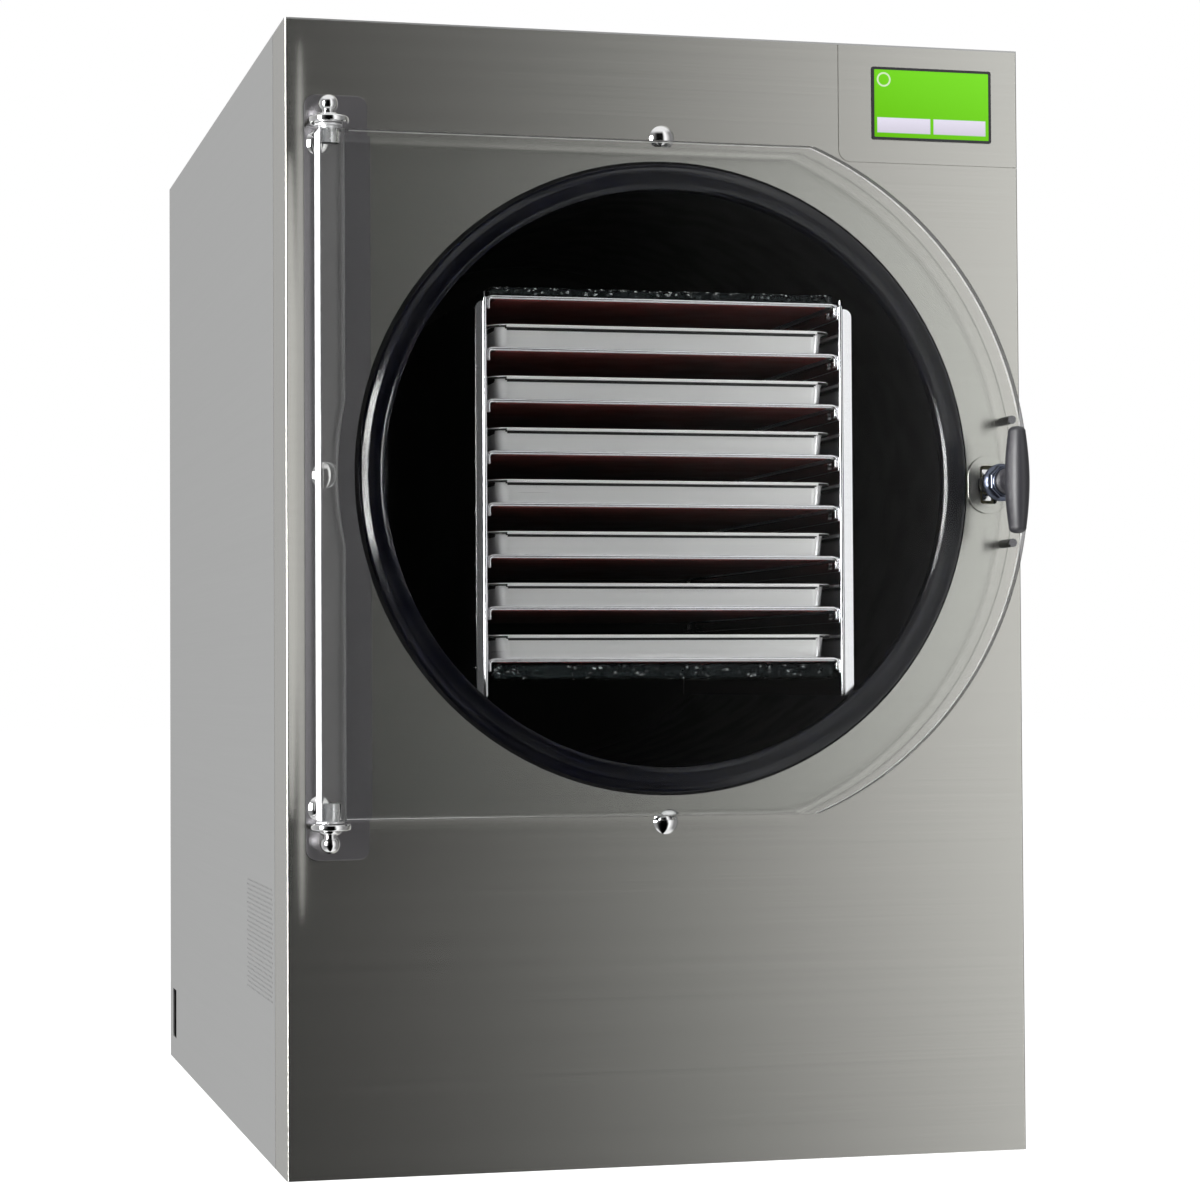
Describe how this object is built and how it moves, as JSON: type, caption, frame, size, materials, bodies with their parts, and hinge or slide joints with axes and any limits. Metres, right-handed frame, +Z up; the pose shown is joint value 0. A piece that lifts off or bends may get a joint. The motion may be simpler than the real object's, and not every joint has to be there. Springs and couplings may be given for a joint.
{
  "type": "freeze dryer",
  "caption": "Floor-standing stainless freeze dryer: round vacuum chamber with a stack of heated shelves and trays, clear hinged door with T-handle, touch screen.",
  "frame": {"origin": "centre of the base underside, between the left and right sides and midway from the front face to the rear edge of the cabinet", "axes": "+Z up, +X to the right when facing the door, +Y from the door towards the rear"},
  "size_m": [0.72, 1.172, 1.07],
  "materials": {
    "cabinet_steel": "brushed stainless sheet, fine horizontal grain",
    "side_steel": "satin grey sheet",
    "base_zinc": "zinc plated sheet",
    "bezel_black": "gloss black",
    "screen_green": "lit green display",
    "board_green": "circuit board",
    "chamber_black": "smooth dark coating",
    "polished_steel": "polished",
    "gasket_rubber": "smooth black",
    "copper": "drawn copper tube",
    "foam": "cut foam",
    "inner_steel": "zinc plated",
    "compressor_black": "black enamel",
    "foot_rubber": "matte",
    "fan_grey": "matte",
    "black_plastic": "moulded",
    "stainless_tube": "drawn tube",
    "valve_brass": "turned brass",
    "lever_red": "dipped vinyl",
    "rack_steel": "bright stainless sheet",
    "heater_red": "silicone",
    "tray_steel": "pressed stainless",
    "foil": "crinkled foil",
    "hinge_steel": "dark stainless",
    "door_acrylic": "clear, polished edges",
    "stud_steel": "dark steel",
    "handle_grey": "moulded, semi-gloss"
  },
  "bodies": {
    "cabinet": {"base_pan": "base_zinc", "front_panel": "cabinet_steel", "control_fascia": "cabinet_steel", "left_side_panel": "side_steel", "right_side_panel": "side_steel", "top_panel": "side_steel", "rear_panel": "base_zinc", "screen_bezel": "bezel_black", "touch_screen": "screen_green", "control_board": "board_green", "vacuum_chamber": "chamber_black", "dome_bolts": "polished_steel", "door_gasket": "gasket_rubber", "cooling_coil": "copper", "chamber_insulation": "foam", "chamber_cradle": "inner_steel", "compressor": "compressor_black", "compressor_feet": "foot_rubber", "condenser": "copper", "fan_shroud": "inner_steel", "fan_motor": "compressor_black", "refrigerant_pipes": "copper", "power_inlet": "black_plastic", "pump_outlet": "black_plastic", "vacuum_port": "stainless_tube", "vacuum_pipe": "stainless_tube", "drain_valve": "valve_brass", "drain_pipe": "stainless_tube", "rack_side_left": "rack_steel", "rack_side_right": "rack_steel", "shelf_1": "rack_steel", "shelf_2": "rack_steel", "shelf_3": "rack_steel", "shelf_4": "rack_steel", "shelf_5": "rack_steel", "shelf_6": "rack_steel", "shelf_7": "rack_steel", "shelf_8": "rack_steel", "heater_mats": "heater_red", "tray_1": "tray_steel", "tray_2": "tray_steel", "tray_3": "tray_steel", "tray_4": "tray_steel", "tray_5": "tray_steel", "tray_6": "tray_steel", "tray_7": "tray_steel", "foil_sheets": "foil", "rack_screws": "polished_steel", "hinge_plate": "hinge_steel", "hinge_pins": "polished_steel", "strike_plate": "polished_steel"},
    "door": {"door_panel": "door_acrylic", "door_bushings": "polished_steel", "door_studs": "stud_steel", "latch_hub": "polished_steel"},
    "handle": {"door_handle": "handle_grey", "latch_bar": "polished_steel"},
    "fan": {"fan_blades": "fan_grey"},
    "rocker": {"power_switch": "black_plastic"},
    "lever": {"drain_lever": "lever_red"}
  },
  "joints": [
    {"name": "door_hinge", "type": "hinge", "parent": "cabinet", "child": "door", "pos_m": [-0.324, -0.533, 0.645], "axis": [0, 0, -1], "range_deg": [0, 110]},
    {"name": "handle_turn", "type": "hinge", "parent": "door", "child": "handle", "pos_m": [0.32, -0.555, 0.6435], "axis": [0, 1, 0], "range_deg": [0, 90]},
    {"name": "fan_spin", "type": "hinge", "parent": "cabinet", "child": "fan", "pos_m": [-0.258, -0.2975, 0.1575], "axis": [1, 0, 0], "continuous": true},
    {"name": "switch_rock", "type": "hinge", "parent": "cabinet", "child": "rocker", "pos_m": [0.23, 0.501, 0.153], "axis": [1, 0, 0], "range_deg": [0, 20]},
    {"name": "drain_turn", "type": "hinge", "parent": "cabinet", "child": "lever", "pos_m": [-0.25, 0.5235, 0.0783], "axis": [0, 0, 1], "range_deg": [0, 90]}
  ]
}
